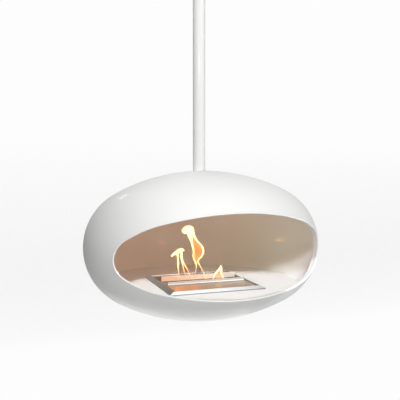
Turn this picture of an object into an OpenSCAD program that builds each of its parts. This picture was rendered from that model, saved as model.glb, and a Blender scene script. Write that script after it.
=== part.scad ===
// Hanging oval fireplace on a ceiling pole, with a lift-out burner and a sliding lid.
// The origin is the middle of the ceiling plate's upper face. +Z points up and the opening looks along -Y.

/* [Body] */
// Outer width of the oval body
body_d = 900; // [880:5:950]
// Height of the oval body
body_h = 573; // [560:1:600]
// Radius of the round flank, where each dish turns over
knuckle_r = 231; // [220:1:240]
// Sheet of the two spun dishes
shell_wall = 3; // [2:0.5:4]
// How far the body leans back, so that the opening looks up a little
body_tilt = 4.8; // [0:0.1:6]
// How far the body's centre sits in front of the pole
body_forward = 18.5; // [5:0.5:30]

/* [Opening] */
// Clear width between the ends of the rim
opening_w = 766; // [740:1:780]
// Clear height at the middle of the rim
opening_h = 280; // [260:1:290]
// How far the middle of the opening lies below the body's middle
opening_drop = 25; // [15:1:30]
// Radius of the two narrow ends
opening_end_r = 79; // [70:1:90]
// Radius of the shoulders between the ends and the long arches
opening_shoulder_r = 282; // [260:1:300]
// Angle through which each end turns before its shoulder starts
opening_shoulder_a = 54; // [50:1:58]
// Thickness of the rim band
rim_t = 4; // [3:0.5:6]
// How far the rim band reaches inwards from the skin
rim_depth = 18; // [12:1:25]

/* [Pole] */
// Outer diameter of the pole
pole_d = 48; // [42:0.5:54]
// Wall of the pole
pole_wall = 3; // [2:0.5:4]
// Length of the pole
pole_len = 1113; // [500:1:2500]
// How far the pole reaches into the body, below its crown
pole_sink = 54; // [50:1:64]

/* [Ceiling plate] */
// Diameter of the plate that is screwed to the ceiling
plate_d = 140; // [134:1:170]
// Thickness of the plate
plate_t = 6; // [5:0.5:10]
// Height of the plate's turned-down edge
plate_edge_h = 12; // [10:1:16]
// Thickness of the turned-down edge
plate_edge_t = 4; // [3:0.5:5]
// Diameter of the holes for the ceiling screws
ceiling_hole_d = 9; // [7:0.5:10]
// Diameter of the circle that the ceiling screws lie on
ceiling_hole_pcd = 116; // [114:1:118]
// Number of ceiling screws
ceiling_screw_count = 4; // [3:1:6]

/* [Ceiling canopy] */
// Sheet of the canopy
canopy_wall = 1.5; // [1:0.5:2.5]
// Height of the canopy
canopy_h = 65; // [62:1:80]
// Radius of the canopy's lower edge
canopy_edge_r = 12; // [6:1:18]
// Shadow gap between the canopy and the ceiling
canopy_shadow = 1; // [0.5:0.5:3]
// Gap between the canopy and the plate's edge
canopy_play = 0.3; // [0.2:0.1:0.6]
// Gap between the canopy and the turning pole
canopy_pole_gap = 3; // [2:0.5:5]
// Number of side screws that hold the canopy
canopy_screw_count = 3; // [3:1:4]

/* [Swivel] */
// Outer diameter of the swivel housing
housing_d = 60; // [56:1:66]
// Depth of the swivel housing below the plate
housing_h = 38; // [36:1:40]
// Thickness of the housing's floor
housing_floor = 10; // [8:1:12]
// Diameter of the housing's hollow
housing_bore = 44; // [42:1:48]
// Diameter of the housing's flange
housing_flange_d = 96; // [94:1:98]
// Thickness of the housing's flange
housing_flange_t = 6; // [5:0.5:8]
// Diameter of the circle that the flange screws lie on
flange_screw_pcd = 78; // [76:1:80]
// Diameter of the flange screws
flange_screw_d = 6; // [5:1:6]
// Diameter of the spindle that carries the pole
spindle_d = 16; // [14:1:18]
// Diameter of the spindle's head
spindle_head_d = 32; // [30:1:38]
// Height of the spindle's head
spindle_head_h = 12; // [10:1:14]
// How far the spindle is screwed into the pole's plug
spindle_reach = 34; // [25:1:36]
// Outer diameter of the bronze bush
bush_d = 22; // [21:0.5:24]
// Diameter of the bush's flange
bush_flange_d = 38; // [34:1:40]
// Thickness of the bush's flange and of the washer on it
bush_flange_t = 3; // [2:0.5:4]
// Running gap of the swivel, on the radius and under the washer
run_gap = 0.05; // [0.02:0.01:0.09]
// Height of the lock nut on the pole's plug
lock_nut_h = 8; // [6:1:10]
// Length of the turned plugs in the pole's ends
plug_len = 40; // [38:1:60]

/* [Neck] */
// Diameter of the boss's flange inside the crown
neck_flange_d = 120; // [100:1:140]
// Thickness of that flange at the pole
neck_flange_t = 16; // [12:1:20]
// Diameter of the boss's sleeve and of the clamp washer
neck_sleeve_d = 68; // [66:1:80]
// Diameter of the set screws in the sleeve
set_screw_d = 8; // [6:1:10]
// Thickness of the clamp washer
clamp_t = 8; // [6:1:12]
// Diameter of the bolt that clamps the body to the pole
clamp_bolt_d = 16; // [12:1:20]
// How far the bolt is screwed into the pole's plug
clamp_bolt_reach = 32; // [24:1:36]

/* [Hearth deck] */
// How far the deck lies below the body's middle
deck_drop = 148; // [140:1:152]
// Thickness of the deck
deck_t = 4; // [3:0.5:6]
// Gap between the deck's edge and the dish
deck_gap = 0.8; // [0.5:0.1:2]
// Width of the tabs that carry the deck
tab_w = 36; // [24:1:50]
// Thickness of the tabs
tab_t = 4; // [3:0.5:6]
// How far the studs lie in from the deck's edge
stud_inset = 26; // [18:1:36]
// Diameter of the studs under the deck
stud_d = 6; // [5:1:8]
// Depth of the well under the deck
well_depth = 47; // [46:1:52]
// Sheet of the well
well_sheet = 1.2; // [1:0.1:1.5]
// Gap between the well and the burner's skirt
well_gap = 4; // [2:0.5:6]
// Width of the well's flange
well_flange = 12; // [8:1:15]

/* [Burner frame] */
// Width of the bevelled frame
frame_w = 366; // [356:1:380]
// Depth of the bevelled frame, front to back
frame_l = 357; // [350:1:365]
// How far the burner's middle lies in front of the pole
frame_forward = 42; // [30:1:50]
// Height of the frame's outer edge
frame_edge = 4; // [3:0.5:6]
// Width of the bevel
bevel_w = 17; // [14:0.5:20]
// Rise of the bevel
bevel_h = 8; // [6:0.5:10]
// Sheet of the burner
sheet = 1.5; // [1:0.1:2]
// How far the frame's inner skirt reaches below the deck's face
skirt_drop = 5; // [4.5:0.5:8]
// Gap between the skirt and the deck's cut-out
skirt_gap = 0.5; // [0.3:0.1:1]

/* [Burner] */
// How far the burner's top plate lies below the frame's upper edge
top_drop = 5; // [4.5:0.5:6]
// Thickness of the top plate
top_t = 2; // [1.5:0.5:2]
// Distance from the slot's ends to the frame's skirts
slot_side = 18; // [12:1:36]
// Width of the fire slot
slot_w = 82; // [70:1:86]
// How far the tank reaches past the slot's two ends
tank_end = 8; // [4:1:12]
// How far the tank reaches past the slot's long edges
tank_side = 19; // [14:1:30]
// Depth of the tank below the top plate
tank_h = 42; // [36:1:44]
// How far the perforated screen lies below the top plate
screen_drop = 10; // [6:1:14]
// Thickness of the screen
screen_t = 1; // [0.8:0.1:1.5]
// Diameter of the screen's holes
screen_hole_d = 8; // [6:0.5:10]
// Distance between the screen's holes
screen_pitch = 18; // [16:1:24]
// Gap round the screen and the wool
pack_gap = 0.4; // [0.3:0.1:1]

/* [Lid and rails] */
// Distance from the rails' ends to the lips of the guides
rail_end_gap = 4.8; // [1:0.1:12]
// Thickness of the rails
rail_t = 6; // [4:0.5:8]
// Height of the rear rail above the top plate
rear_rail_h = 20; // [16:0.5:24]
// Distance from the slot's rear edge to the rear rail
rear_rail_gap = 3; // [2:0.5:5]
// Height of the lid's rail above the lid
lid_rail_h = 14; // [10:0.5:18]
// Distance from the open lid to the slot's front edge
lid_open_gap = 2; // [1:0.5:4]
// Gap between the open lid and the frame in front of it
lid_front_gap = 1.5; // [1:0.5:3]
// Sliding gap round the lid
slide_gap = 0.3; // [0.2:0.05:0.4]
// Width of the guides beside the lid
guide_w = 4.7; // [4:0.1:6]
// How far the guides reach over the lid
guide_lip = 3; // [2:0.5:4]

/* [Hidden] */
$fn = 64;
big_fn = 200;            // facets of the large arcs
weld = 0.1;              // gap of a ground weld between two curved pieces
thread = 0.05;           // gap of a screw in its thread
shank_play = 0.3;        // gap of a screw in a plain hole
beyond = 10;             // how far a cut runs past what it cuts
lap = 1;                 // how far two forms of one piece run into each other
arc_lap = 0.02;          // how far an arc laps the flatter one that it runs into

// The oval: a dish of one flat crown arc and one round flank arc, the same above and below.
body_r = body_d / 2;
half_h = body_h / 2;
knuckle_x = body_r - knuckle_r;
crown_r = (pow(knuckle_x, 2) + pow(half_h, 2) - pow(knuckle_r, 2)) / (2 * (half_h - knuckle_r));
crown_drop = crown_r - half_h;
tangent_a = atan2(crown_drop, knuckle_x);

// The opening: each quarter is an end arc, a shoulder arc and half of a long arch, all tangent.
end_x = opening_w / 2 - opening_end_r;
shoulder_x = end_x - (opening_shoulder_r - opening_end_r) * cos(opening_shoulder_a);
shoulder_y = (opening_shoulder_r - opening_end_r) * sin(opening_shoulder_a);
arch_a = 90 - 2 * atan((opening_h / 2 + shoulder_y - opening_shoulder_r) / shoulder_x);
arch_r = opening_shoulder_r + shoulder_x / cos(arch_a);
arch_y = shoulder_y + (arch_r - opening_shoulder_r) * sin(arch_a);

// Heights from the ceiling down to the pole's top
housing_bottom = -plate_t - housing_h;
floor_top = housing_bottom + housing_floor;
washer_bottom = floor_top + bush_flange_t + run_gap;
head_bottom = washer_bottom + bush_flange_t;
bush_stand = 2;
nut_gap = 1;
bush_bottom = housing_bottom - bush_stand;
nut_top = bush_bottom - nut_gap;
pole_top = nut_top - lock_nut_h;
pole_foot = pole_top - pole_len;
body_z = pole_foot + pole_sink - half_h;
pole_bore = pole_d - 2 * pole_wall;

// Screws of the fixing
flange_screw_count = 4;
plate_skin = 1;

// Canopy
canopy_r = plate_d / 2 + canopy_play + canopy_wall;
canopy_screw_d = 4;
canopy_screw_z = -plate_t - plate_edge_h / 2;

// Neck, from the body's middle
neck_bottom = half_h - pole_sink;
neck_flange_z = half_h - shell_wall - neck_flange_t;
bolt_head_h = 10;
pole_hole_gap = 0.5;

// Burner sizes, and its heights above the deck's face
frame_top = frame_edge + bevel_h;
hole_w = frame_w - 2 * bevel_w;
hole_l = frame_l - 2 * bevel_w;
slot_l = hole_w - 2 * slot_side;
tank_l = slot_l + 2 * tank_end;
tank_w = slot_w + 2 * tank_side;
top_z = frame_top - top_drop;
lid_bottom = top_z + slide_gap;
lid_top = lid_bottom + sheet;
tank_bottom = top_z - top_t - tank_h;
screen_z = top_z - top_t - screen_drop;

// Rails and lid, front to back from the burner's middle
rear_rail_y = slot_w / 2 + rear_rail_gap;
lid_back = -slot_w / 2 - lid_open_gap;
lid_front = -hole_l / 2 + lid_front_gap;
guide_x = hole_w / 2 - guide_w;
rail_l = 2 * (guide_x - guide_lip - rail_end_gap);
lid_travel = rear_rail_y - slide_gap - lid_back;

// Where the skin stands at one height, and how far the level deck reaches at one angle
function oval_r(z, inset) =
    abs(z) < (knuckle_r - inset) * sin(tangent_a)
        ? knuckle_x + sqrt(pow(knuckle_r - inset, 2) - z * z)
        : sqrt(pow(crown_r - inset, 2) - pow(abs(z) + crown_drop, 2));
function deck_r(a) =
    oval_r(-deck_drop * cos(body_tilt) + oval_r(-deck_drop, 0) * sin(a) * sin(body_tilt),
        shell_wall + deck_gap);

// ---- Shapes that several pieces share ----

// Two circles of one radius, their centres as far above the axis as below: what both cover
module lens(x, y, r) {
    intersection() {
        translate([x, -y]) circle(r, $fn = big_fn);
        translate([x, y]) circle(r, $fn = big_fn);
    }
}

// Everything up to x, and beyond it only what the children cover
module turn_at(x) {
    translate([-body_d, -body_h]) square([body_d + x, 2 * body_h]);
    children();
}

module half_oval(inset) {
    turn_r = knuckle_r - inset;
    intersection() {
        lens(0, crown_drop, crown_r - inset);
        turn_at(knuckle_x + turn_r * cos(tangent_a))
            translate([knuckle_x, 0]) circle(turn_r + arc_lap, $fn = big_fn);
        translate([0, -body_h]) square([body_d, 2 * body_h]);
    }
}

module oval_solid(inset) {
    rotate(90) rotate_extrude($fn = big_fn) half_oval(inset);
}

module at_body() {
    translate([0, -body_forward, body_z]) rotate([-body_tilt, 0, 0]) children();
}

module opening_right(grow) {
    shoulder = opening_shoulder_r + grow;
    end = opening_end_r + grow;
    intersection() {
        turn_at(shoulder_x + shoulder * cos(arch_a))
            lens(shoulder_x, shoulder_y, shoulder + arc_lap);
        turn_at(end_x + end * cos(opening_shoulder_a))
            translate([end_x, 0]) circle(end + 2 * arc_lap, $fn = big_fn);
    }
}

module opening_cut(grow) {
    translate([0, -body_r / 4, -opening_drop]) rotate([90, 0, 0]) linear_extrude(body_r)
        intersection() {
            lens(0, arch_y, arch_r + grow);
            opening_right(grow);
            mirror([1, 0]) opening_right(grow);
        }
}

module tube(d, bore, z, h) {
    translate([0, 0, z]) difference() {
        cylinder(d = d, h = h);
        translate([0, 0, -beyond]) cylinder(d = bore, h = h + 2 * beyond);
    }
}

module hexagon(across, h) {
    cylinder(d = across / cos(30), h = h, $fn = 6);
}

module block(w, l, z, h) {
    translate([-w / 2, -l / 2, z]) cube([w, l, h]);
}

module around(count, r, start = 0) {
    for (i = [0 : count - 1]) rotate(start + i * 360 / count) translate([r, 0, 0]) children();
}

// ---- Ceiling fixing ----

// Steel plate against the ceiling, with an edge that the canopy is screwed to
module ceiling_plate() color([0.72, 0.73, 0.74]) {
    difference() {
        union() {
            translate([0, 0, -plate_t]) cylinder(d = plate_d, h = plate_t);
            tube(plate_d, plate_d - 2 * plate_edge_t, -plate_t - plate_edge_h, plate_edge_h);
        }
        around(ceiling_screw_count, ceiling_hole_pcd / 2, 45) translate([0, 0, -plate_t - beyond])
            cylinder(d = ceiling_hole_d, h = plate_t + 2 * beyond);
        around(flange_screw_count, flange_screw_pcd / 2) translate([0, 0, -plate_t - beyond])
            cylinder(d = flange_screw_d + 2 * thread, h = plate_t + beyond - plate_skin);
        around(canopy_screw_count, plate_d / 2 - plate_edge_t - lap, 90)
            translate([0, 0, canopy_screw_z]) rotate([0, 90, 0])
                cylinder(d = canopy_screw_d + 2 * thread, h = plate_edge_t + beyond);
    }
}

// Turned cup under the plate that the spindle's head turns in
module swivel_housing() color([0.6, 0.61, 0.62]) {
    difference() {
        union() {
            translate([0, 0, housing_bottom]) cylinder(d = housing_d, h = housing_h);
            translate([0, 0, -plate_t - housing_flange_t])
                cylinder(d = housing_flange_d, h = housing_flange_t);
        }
        translate([0, 0, floor_top]) cylinder(d = housing_bore, h = housing_h);
        translate([0, 0, housing_bottom - beyond])
            cylinder(d = bush_d + 2 * thread, h = housing_h);
        around(flange_screw_count, flange_screw_pcd / 2) translate([0, 0, housing_bottom])
            cylinder(d = flange_screw_d + 2 * shank_play, h = housing_h + beyond);
    }
}

module flange_screws() color([0.5, 0.51, 0.52]) {
    head_h = 4;
    tip = 1.5;
    around(flange_screw_count, flange_screw_pcd / 2) {
        difference() {
            translate([0, 0, -plate_t - housing_flange_t - head_h])
                cylinder(d = 1.8 * flange_screw_d, h = head_h);
            translate([0, 0, -plate_t - housing_flange_t - head_h - beyond])
                hexagon(flange_screw_d * 0.65, beyond + head_h / 2);
        }
        translate([0, 0, -plate_t - housing_flange_t])
            cylinder(d = flange_screw_d, h = plate_t + housing_flange_t - tip);
    }
}

// Bronze bush, pressed into the housing's floor
module swivel_bush() color([0.72, 0.53, 0.26]) {
    difference() {
        union() {
            translate([0, 0, bush_bottom]) cylinder(d = bush_d, h = floor_top - bush_bottom + lap);
            translate([0, 0, floor_top]) cylinder(d = bush_flange_d, h = bush_flange_t);
        }
        translate([0, 0, bush_bottom - beyond])
            cylinder(d = spindle_d + 2 * run_gap, h = housing_h + beyond);
    }
}

module cup_outline(r, h, edge_r) {
    square([r - edge_r, h]);
    translate([0, edge_r]) square([r, h - edge_r]);
    translate([r - edge_r, edge_r]) circle(edge_r);
}

// Spun cover that hides the fixing; the pole turns in its hole
module ceiling_canopy() color([0.93, 0.93, 0.92]) {
    difference() {
        translate([0, 0, -canopy_shadow - canopy_h]) rotate_extrude($fn = 120) difference() {
            cup_outline(canopy_r, canopy_h, canopy_edge_r);
            translate([0, canopy_wall])
                cup_outline(canopy_r - canopy_wall, canopy_h, canopy_edge_r - canopy_wall);
            translate([0, -beyond]) square([pole_d / 2 + canopy_pole_gap, 2 * beyond]);
        }
        around(canopy_screw_count, canopy_r - canopy_wall - lap, 90)
            translate([0, 0, canopy_screw_z]) rotate([0, 90, 0])
                cylinder(d = canopy_screw_d + 2 * shank_play, h = canopy_wall + beyond);
    }
}

module canopy_screws() color([0.88, 0.88, 0.87]) {
    head_h = 2;
    around(canopy_screw_count, plate_d / 2 - plate_edge_t, 90)
        translate([0, 0, canopy_screw_z]) rotate([0, 90, 0]) {
            cylinder(d = canopy_screw_d, h = canopy_r - plate_d / 2 + plate_edge_t);
            translate([0, 0, canopy_r - plate_d / 2 + plate_edge_t])
                cylinder(d = 1.8 * canopy_screw_d, h = head_h);
        }
}

// ---- Swivel and pole ----

module thrust_washer() color([0.55, 0.56, 0.57]) {
    tube(bush_flange_d - 2, spindle_d + 2 * thread, washer_bottom, bush_flange_t);
}

// Headed spindle: its head rests on the washer and its shank carries the pole
module swivel_spindle() color([0.64, 0.65, 0.66]) {
    key_w = 14;
    difference() {
        union() {
            translate([0, 0, head_bottom]) cylinder(d = spindle_head_d, h = spindle_head_h);
            translate([0, 0, pole_top - spindle_reach])
                cylinder(d = spindle_d, h = head_bottom - pole_top + spindle_reach + lap);
        }
        translate([0, 0, head_bottom + spindle_head_h / 2]) hexagon(key_w, spindle_head_h);
    }
}

module lock_nut() color([0.5, 0.51, 0.52]) {
    difference() {
        translate([0, 0, pole_top]) hexagon(1.5 * spindle_d, lock_nut_h);
        translate([0, 0, pole_top - beyond])
            cylinder(d = spindle_d + 2 * thread, h = lock_nut_h + 2 * beyond);
    }
}

module pole_head_plug() color([0.6, 0.61, 0.62]) {
    tube(pole_bore - 2 * weld, spindle_d + 2 * thread, pole_top - plug_len, plug_len);
}

module pole() color([0.93, 0.93, 0.92]) {
    tube(pole_d, pole_bore, pole_foot, pole_len, $fn = 96);
}

module pole_foot_plug() color([0.6, 0.61, 0.62]) {
    tube(pole_bore - 2 * weld, clamp_bolt_d + 2 * thread, pole_foot, plug_len);
}

// ---- Neck inside the crown ----

// Boss welded under the crown: its flange follows the dish, its sleeve stands plumb on the pole
module neck_boss() color([0.7, 0.71, 0.72]) {
    difference() {
        union() {
            intersection() {
                translate([0, 0, body_z + neck_flange_z])
                    cylinder(d = neck_flange_d, h = body_h);
                at_body() oval_solid(shell_wall + weld);
            }
            translate([0, 0, body_z + neck_bottom])
                cylinder(d = neck_sleeve_d, h = neck_flange_z - neck_bottom + lap);
        }
        translate([0, 0, body_z]) cylinder(d = pole_d + 2 * weld, h = body_h);
        neck_screw_holes(set_screw_d + 2 * thread);
    }
}

module neck_screw_holes(d) {
    translate([0, 0, body_z + (neck_bottom + neck_flange_z) / 2]) for (a = [90, 210])
        rotate(a) rotate([0, 90, 0]) cylinder(d = d, h = neck_sleeve_d);
}

module neck_set_screws() color([0.35, 0.36, 0.37]) {
    intersection() {
        neck_screw_holes(set_screw_d);
        tube(neck_sleeve_d, pole_d + 2 * weld, pole_foot, pole_sink);
    }
}

module clamp_washer() color([0.62, 0.63, 0.64]) {
    tube(neck_sleeve_d, clamp_bolt_d + 2 * shank_play, pole_foot - clamp_t, clamp_t);
}

module clamp_bolt() color([0.55, 0.56, 0.57]) {
    translate([0, 0, pole_foot - clamp_t - bolt_head_h]) {
        hexagon(1.5 * clamp_bolt_d, bolt_head_h);
        cylinder(d = clamp_bolt_d, h = bolt_head_h + clamp_t + clamp_bolt_reach);
    }
}

// ---- Body ----

// One spun dish, rim upwards, before the opening is cut; the profile starts at the back
module dish() {
    rotate(90) rotate_extrude($fn = big_fn) intersection() {
        difference() {
            half_oval(0);
            half_oval(shell_wall);
        }
        translate([0, -body_h]) square([body_d, body_h]);
    }
}

module upper_dish() color([0.95, 0.95, 0.94]) {
    difference() {
        at_body() difference() {
            mirror([0, 0, 1]) dish();
            opening_cut(rim_t);
        }
        translate([0, 0, body_z]) cylinder(d = pole_d + 2 * pole_hole_gap, h = body_h);
    }
}

module lower_dish() color([0.95, 0.95, 0.94]) {
    at_body() difference() {
        dish();
        opening_cut(rim_t);
    }
}

// Band bent to the opening and ground flush with the skin
module opening_rim() color([0.95, 0.95, 0.94]) {
    at_body() difference() {
        intersection() {
            rotate(90) rotate_extrude($fn = big_fn) difference() {
                half_oval(0);
                half_oval(rim_depth);
            }
            opening_cut(rim_t - weld);
        }
        opening_cut(0);
    }
}

// ---- Hearth deck ----

module at_deck() {
    translate([0, 0, body_z - deck_drop]) children();
}

module at_burner() {
    translate([0, -frame_forward, body_z - deck_drop]) children();
}

// Level plate that fills the body's section and carries the burner
module hearth_deck() color([0.94, 0.94, 0.93]) {
    difference() {
        intersection() {
            at_deck() block(body_d, body_d + 2 * body_forward, -deck_t, deck_t);
            at_body() oval_solid(shell_wall + deck_gap);
        }
        at_burner() block(hole_w + 2 * (sheet + skirt_gap), hole_l + 2 * (sheet + skirt_gap),
            -deck_t - beyond, deck_t + 2 * beyond);
    }
}

module at_studs() {
    for (a = [45 : 90 : 315])
        translate([0, -body_forward, 0]) rotate(a) translate([deck_r(a) - stud_inset, 0, 0])
            at_deck() children();
}

module deck_tabs() color([0.7, 0.71, 0.72]) {
    difference() {
        intersection() {
            at_studs() translate([-stud_inset / 2, -tab_w / 2, -deck_t - tab_t])
                cube([3 * stud_inset, tab_w, tab_t]);
            at_body() oval_solid(shell_wall + weld);
        }
        at_studs() translate([0, 0, -deck_t - tab_t - beyond])
            cylinder(d = stud_d + 2 * shank_play, h = tab_t + 2 * beyond);
    }
}

module deck_studs() color([0.6, 0.61, 0.62]) {
    stud_len = tab_t + 2 * stud_d;
    at_studs() translate([0, 0, -deck_t - stud_len]) cylinder(d = stud_d, h = stud_len);
}

module deck_nuts() color([0.5, 0.51, 0.52]) {
    nut_h = 0.8 * stud_d;
    at_studs() translate([0, 0, -deck_t - tab_t - nut_h]) difference() {
        hexagon(1.65 * stud_d, nut_h);
        translate([0, 0, -beyond]) cylinder(d = stud_d + 2 * thread, h = nut_h + 2 * beyond);
    }
}

// Sheet well under the cut-out: it keeps the tank's heat off the lower dish and catches a spill
module burner_well() color([0.75, 0.76, 0.77]) {
    inner_w = hole_w + 2 * (sheet + well_gap);
    inner_l = hole_l + 2 * (sheet + well_gap);
    at_burner() difference() {
        union() {
            block(inner_w + 2 * well_sheet, inner_l + 2 * well_sheet,
                -deck_t - well_depth, well_depth);
            block(inner_w + 2 * well_flange, inner_l + 2 * well_flange,
                -deck_t - well_sheet, well_sheet);
        }
        block(inner_w, inner_l, -deck_t - well_depth + well_sheet, well_depth + beyond);
    }
}

// ---- Burner ----

// Solid with an upright edge and four mitred slopes
module bevelled(w, l, z, edge) {
    intersection() {
        rotate([90, 0, 0]) linear_extrude(2 * l, center = true) bevel_outline(w, z, edge);
        rotate([90, 0, 90]) linear_extrude(2 * w, center = true) bevel_outline(l, z, edge);
    }
}

module bevel_outline(w, z, edge) {
    polygon([[-w / 2, z], [w / 2, z], [w / 2, edge], [w / 2 - bevel_w, edge + bevel_h],
        [bevel_w - w / 2, edge + bevel_h], [-w / 2, edge]]);
}

// Folded frame: outer edge, bevel and an inner skirt that drops through the deck
module burner_frame() color([0.8, 0.8, 0.8]) {
    at_burner() difference() {
        union() {
            difference() {
                bevelled(frame_w, frame_l, 0, frame_edge);
                bevelled(frame_w - 2 * sheet, frame_l - 2 * sheet, -beyond, frame_edge - sheet);
            }
            block(hole_w + 2 * sheet, hole_l + 2 * sheet, -skirt_drop, skirt_drop + frame_top - sheet);
        }
        block(hole_w, hole_l, -skirt_drop - beyond, skirt_drop + frame_top + 2 * beyond);
    }
}

// Polished plate between the skirts, with the fire slot
module burner_top() color([0.78, 0.77, 0.76]) {
    at_burner() difference() {
        block(hole_w, hole_l, top_z - top_t, top_t);
        block(slot_l, slot_w, top_z - top_t - beyond, top_t + 2 * beyond);
    }
}

module fuel_tank() color([0.68, 0.69, 0.7]) {
    at_burner() difference() {
        block(tank_l, tank_w, tank_bottom, tank_h);
        block(tank_l - 2 * sheet, tank_w - 2 * sheet, tank_bottom + sheet, tank_h);
    }
}

// Block of wool that holds the fuel
module ceramic_wool() color([0.9, 0.88, 0.84]) {
    at_burner() block(tank_l - 2 * (sheet + pack_gap), tank_w - 2 * (sheet + pack_gap),
        tank_bottom + sheet, screen_z - screen_t - tank_bottom - sheet);
}

// Perforated plate that keeps the wool down
module fuel_screen() color([0.6, 0.6, 0.6]) {
    columns = floor((slot_l - screen_hole_d) / 2 / screen_pitch);
    rows = floor((slot_w - screen_hole_d) / 2 / screen_pitch);
    at_burner() difference() {
        block(tank_l - 2 * (sheet + pack_gap), tank_w - 2 * (sheet + pack_gap),
            screen_z - screen_t, screen_t);
        for (i = [-columns : columns], j = [-rows : rows])
            translate([i * screen_pitch, j * screen_pitch, screen_z - screen_t - beyond])
                cylinder(d = screen_hole_d, h = screen_t + 2 * beyond, $fn = 24);
    }
}

// Fixed rail behind the slot, which the lid closes against
module rear_rail() color([0.8, 0.79, 0.78]) {
    at_burner() translate([0, rear_rail_y + rail_t / 2, 0]) block(rail_l, rail_t, top_z, rear_rail_h);
}

// Folded strip beside the lid, with a lip over the lid's edge
module lid_guide() {
    lip_z = lid_top + slide_gap;
    guide_l = rear_rail_y + rail_t + hole_l / 2;
    at_burner() {
        translate([guide_x, -hole_l / 2, top_z]) cube([guide_w, guide_l, lip_z + sheet - top_z]);
        translate([guide_x - guide_lip, -hole_l / 2, lip_z]) cube([guide_lip + lap, guide_l, sheet]);
    }
}

module lid_guide_left() color([0.78, 0.78, 0.78]) mirror([1, 0, 0]) lid_guide();

module lid_guide_right() color([0.78, 0.78, 0.78]) lid_guide();

// ---- Sliding lid ----

module lid_plate() color([0.82, 0.8, 0.78]) {
    at_burner() translate([slide_gap - guide_x, lid_front, lid_bottom])
        cube([2 * (guide_x - slide_gap), lid_back - lid_front, sheet]);
}

// Upright rail on the lid's rear edge, by which it is pushed
module lid_rail() color([0.84, 0.82, 0.8]) {
    at_burner() translate([0, lid_back - rail_t / 2, 0]) block(rail_l, rail_t, lid_top, lid_rail_h);
}

ceiling_plate();
swivel_housing();
flange_screws();
swivel_bush();
ceiling_canopy();
canopy_screws();
thrust_washer();
swivel_spindle();
lock_nut();
pole_head_plug();
pole();
pole_foot_plug();
neck_boss();
neck_set_screws();
clamp_washer();
clamp_bolt();
upper_dish();
lower_dish();
opening_rim();
hearth_deck();
deck_tabs();
deck_studs();
deck_nuts();
burner_well();
burner_frame();
burner_top();
fuel_tank();
ceramic_wool();
fuel_screen();
rear_rail();
lid_guide_left();
lid_guide_right();
lid_plate();
lid_rail();
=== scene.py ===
import math

import bmesh
import bpy
import numpy as np
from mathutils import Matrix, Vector


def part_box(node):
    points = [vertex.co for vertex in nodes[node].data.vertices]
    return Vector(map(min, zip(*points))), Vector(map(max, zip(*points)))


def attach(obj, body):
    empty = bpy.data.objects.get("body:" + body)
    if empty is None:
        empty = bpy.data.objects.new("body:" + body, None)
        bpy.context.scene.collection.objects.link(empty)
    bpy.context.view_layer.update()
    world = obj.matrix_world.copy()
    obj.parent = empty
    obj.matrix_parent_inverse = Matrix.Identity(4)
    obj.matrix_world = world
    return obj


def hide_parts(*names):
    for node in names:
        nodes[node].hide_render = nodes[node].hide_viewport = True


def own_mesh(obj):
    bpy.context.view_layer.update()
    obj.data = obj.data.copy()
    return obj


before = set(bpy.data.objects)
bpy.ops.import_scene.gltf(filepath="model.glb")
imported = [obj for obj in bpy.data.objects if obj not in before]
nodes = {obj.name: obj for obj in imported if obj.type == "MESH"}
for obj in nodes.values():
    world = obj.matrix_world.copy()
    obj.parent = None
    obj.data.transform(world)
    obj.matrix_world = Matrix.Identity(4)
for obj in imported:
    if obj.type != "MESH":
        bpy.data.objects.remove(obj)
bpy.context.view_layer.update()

# ---- Pole, canopy and the other painted parts that keep their plain shape ----
# Steel tube, spun cover and flat deck plate, all sprayed with one coat of satin
# white stove paint. The coat is even, with a very fine orange peel.

WHITE = (0.865, 0.865, 0.85)
PAINT_COAT = 0.12
COAT_ROUGHNESS = 0.14
# Blobs a metre of the tone, of the sheen and of the orange peel, and the peel's depth.
TONE_BLOBS, SHEEN_BLOBS, PEEL_BLOBS = 3.0, 9.0, 700.0
PEEL_DEPTH = 0.00001
RAMP_FROM, RAMP_TO = 0.3, 0.7


def new_material(name):
    """An empty material with its shader and the coordinates of the object, in metres."""
    material = bpy.data.materials.new(name)
    material.use_nodes = True
    tree = material.node_tree
    shader = tree.nodes["Principled BSDF"]
    place = tree.nodes.new("ShaderNodeTexCoord")
    return material, tree, shader, place.outputs["Object"]


def noise(tree, place, scale, detail=2.0, stretch=(1, 1, 1)):
    """Noise of so many blobs a metre, drawn out where stretch is small."""
    spread = tree.nodes.new("ShaderNodeMapping")
    spread.inputs["Scale"].default_value = [scale * s for s in stretch]
    cloud = tree.nodes.new("ShaderNodeTexNoise")
    cloud.inputs["Scale"].default_value = 1.0
    cloud.inputs["Detail"].default_value = detail
    tree.links.new(place, spread.inputs["Vector"])
    tree.links.new(spread.outputs["Vector"], cloud.inputs["Vector"])
    return cloud.outputs["Fac"]


def ramp(tree, value, low, high):
    """Colours, or greys, from low to high as value goes from RAMP_FROM to RAMP_TO."""
    band = tree.nodes.new("ShaderNodeValToRGB")
    band.color_ramp.elements[0].position = RAMP_FROM
    band.color_ramp.elements[1].position = RAMP_TO
    for element, tone in zip(band.color_ramp.elements, (low, high)):
        element.color = (*tone, 1) if hasattr(tone, "__len__") else (tone, tone, tone, 1)
    tree.links.new(value, band.inputs["Fac"])
    return band.outputs["Color"]


def bump(tree, shader, height, depth):
    """A relief of so many metres on the shader's normal."""
    relief = tree.nodes.new("ShaderNodeBump")
    relief.inputs["Distance"].default_value = depth
    tree.links.new(height, relief.inputs["Height"])
    tree.links.new(relief.outputs["Normal"], shader.inputs["Normal"])


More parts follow.
